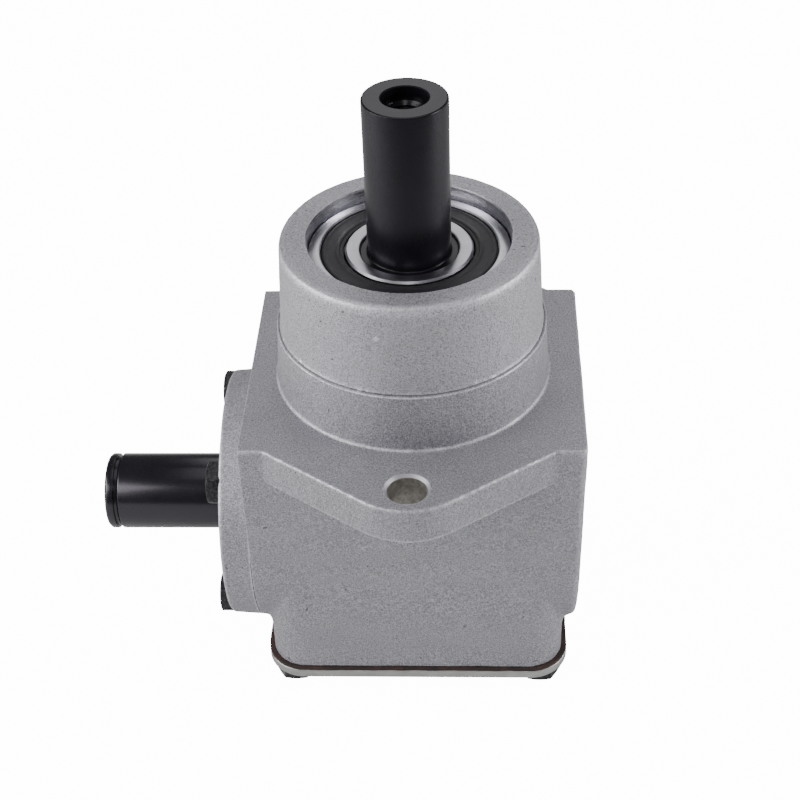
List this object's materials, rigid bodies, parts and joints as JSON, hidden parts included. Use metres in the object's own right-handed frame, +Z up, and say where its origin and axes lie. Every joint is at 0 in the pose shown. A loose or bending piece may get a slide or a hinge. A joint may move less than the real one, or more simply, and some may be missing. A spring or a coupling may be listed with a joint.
{
  "type": "right angle bevel gearbox",
  "caption": "Right angle bevel gearbox: cast aluminium housing with eared mounting flange and round bearing boss, plain vertical and horizontal steel shafts joined by equal miter gears.",
  "frame": {"origin": "on the vertical shaft's axis, at the top face of the mounting flange, midway between its two bolt holes", "axes": "+Z up along the vertical shaft; the horizontal shaft lies along X and comes out at -X; the two bolt holes are on the Y axis"},
  "size_m": [0.1574, 0.14, 0.1984],
  "materials": {
    "cast_aluminium": "shot-blasted casting, matte",
    "zinc_plate": "rolled zinc-plated sheet, satin",
    "gasket_fibre": "oil-darkened fibre gasket, matte",
    "black_screw": "black oxide, satin",
    "seal_rubber": "moulded nitrile rubber, matte",
    "black_oxide_steel": "turned steel, black oxide, satin",
    "gear_steel": "cut and hardened steel, oiled",
    "spring_steel": "phosphated spring steel",
    "bearing_steel": "ground bearing steel",
    "cage_brass": "machined brass"
  },
  "bodies": {
    "housing": {"gear_housing": "cast_aluminium", "bottom_gasket": "gasket_fibre", "bottom_cover": "zinc_plate", "bottom_cover_screws": "black_screw", "side_cover": "cast_aluminium", "side_cover_gasket": "gasket_fibre", "side_cover_screws": "black_screw", "oil_seal": "seal_rubber", "oil_seal_spring": "spring_steel", "upper_bearing_outer_ring": "bearing_steel", "lower_bearing_outer_ring": "bearing_steel", "left_bearing_outer_ring": "bearing_steel", "right_bearing_outer_ring": "bearing_steel", "upper_bearing_top_seal": "seal_rubber", "upper_bearing_bottom_seal": "seal_rubber", "lower_bearing_retaining_ring": "spring_steel"},
    "vertical_shaft_group": {"vertical_shaft": "black_oxide_steel", "vertical_bevel_gear": "gear_steel", "vertical_gear_key": "spring_steel", "vertical_gear_shim": "spring_steel", "vertical_gear_retaining_ring": "spring_steel", "upper_bearing_inner_ring": "bearing_steel", "lower_bearing_inner_ring": "bearing_steel"},
    "horizontal_shaft_group": {"horizontal_shaft": "black_oxide_steel", "horizontal_bevel_gear": "gear_steel", "horizontal_gear_key": "spring_steel", "horizontal_gear_shim": "spring_steel", "horizontal_gear_retaining_ring": "spring_steel", "left_bearing_inner_ring": "bearing_steel", "right_bearing_inner_ring": "bearing_steel"},
    "upper_bearing_rollers": {"upper_bearing_balls": "bearing_steel", "upper_bearing_cage": "cage_brass"},
    "lower_bearing_rollers": {"lower_bearing_balls": "bearing_steel", "lower_bearing_cage": "cage_brass"},
    "left_bearing_rollers": {"left_bearing_balls": "bearing_steel", "left_bearing_cage": "cage_brass"},
    "right_bearing_rollers": {"right_bearing_balls": "bearing_steel", "right_bearing_cage": "cage_brass"}
  },
  "joints": [
    {"name": "horizontal_shaft_spin", "type": "hinge", "parent": "housing", "child": "horizontal_shaft_group", "pos_m": [0, 0, -0.0525], "axis": [1, 0, 0], "continuous": true},
    {"name": "vertical_shaft_spin", "type": "hinge", "parent": "housing", "child": "vertical_shaft_group", "pos_m": [0, 0, 0], "axis": [0, 0, 1], "continuous": true},
    {"name": "upper_bearing_cage_spin", "type": "hinge", "parent": "housing", "child": "upper_bearing_rollers", "pos_m": [0, 0, 0.0366], "axis": [0, 0, 1], "continuous": true},
    {"name": "lower_bearing_cage_spin", "type": "hinge", "parent": "housing", "child": "lower_bearing_rollers", "pos_m": [0, 0, -0.007], "axis": [0, 0, 1], "continuous": true},
    {"name": "left_bearing_cage_spin", "type": "hinge", "parent": "housing", "child": "left_bearing_rollers", "pos_m": [-0.0455, 0, -0.0525], "axis": [1, 0, 0], "continuous": true},
    {"name": "right_bearing_cage_spin", "type": "hinge", "parent": "housing", "child": "right_bearing_rollers", "pos_m": [0.0419, 0, -0.0525], "axis": [1, 0, 0], "continuous": true}
  ],
  "couplings": [
    {"joint": "vertical_shaft_spin", "follows": "horizontal_shaft_spin", "ratio": 1},
    {"joint": "upper_bearing_cage_spin", "follows": "horizontal_shaft_spin", "ratio": 0.3965},
    {"joint": "lower_bearing_cage_spin", "follows": "horizontal_shaft_spin", "ratio": 0.3982},
    {"joint": "left_bearing_cage_spin", "follows": "horizontal_shaft_spin", "ratio": 0.3982},
    {"joint": "right_bearing_cage_spin", "follows": "horizontal_shaft_spin", "ratio": 0.3982}
  ]
}
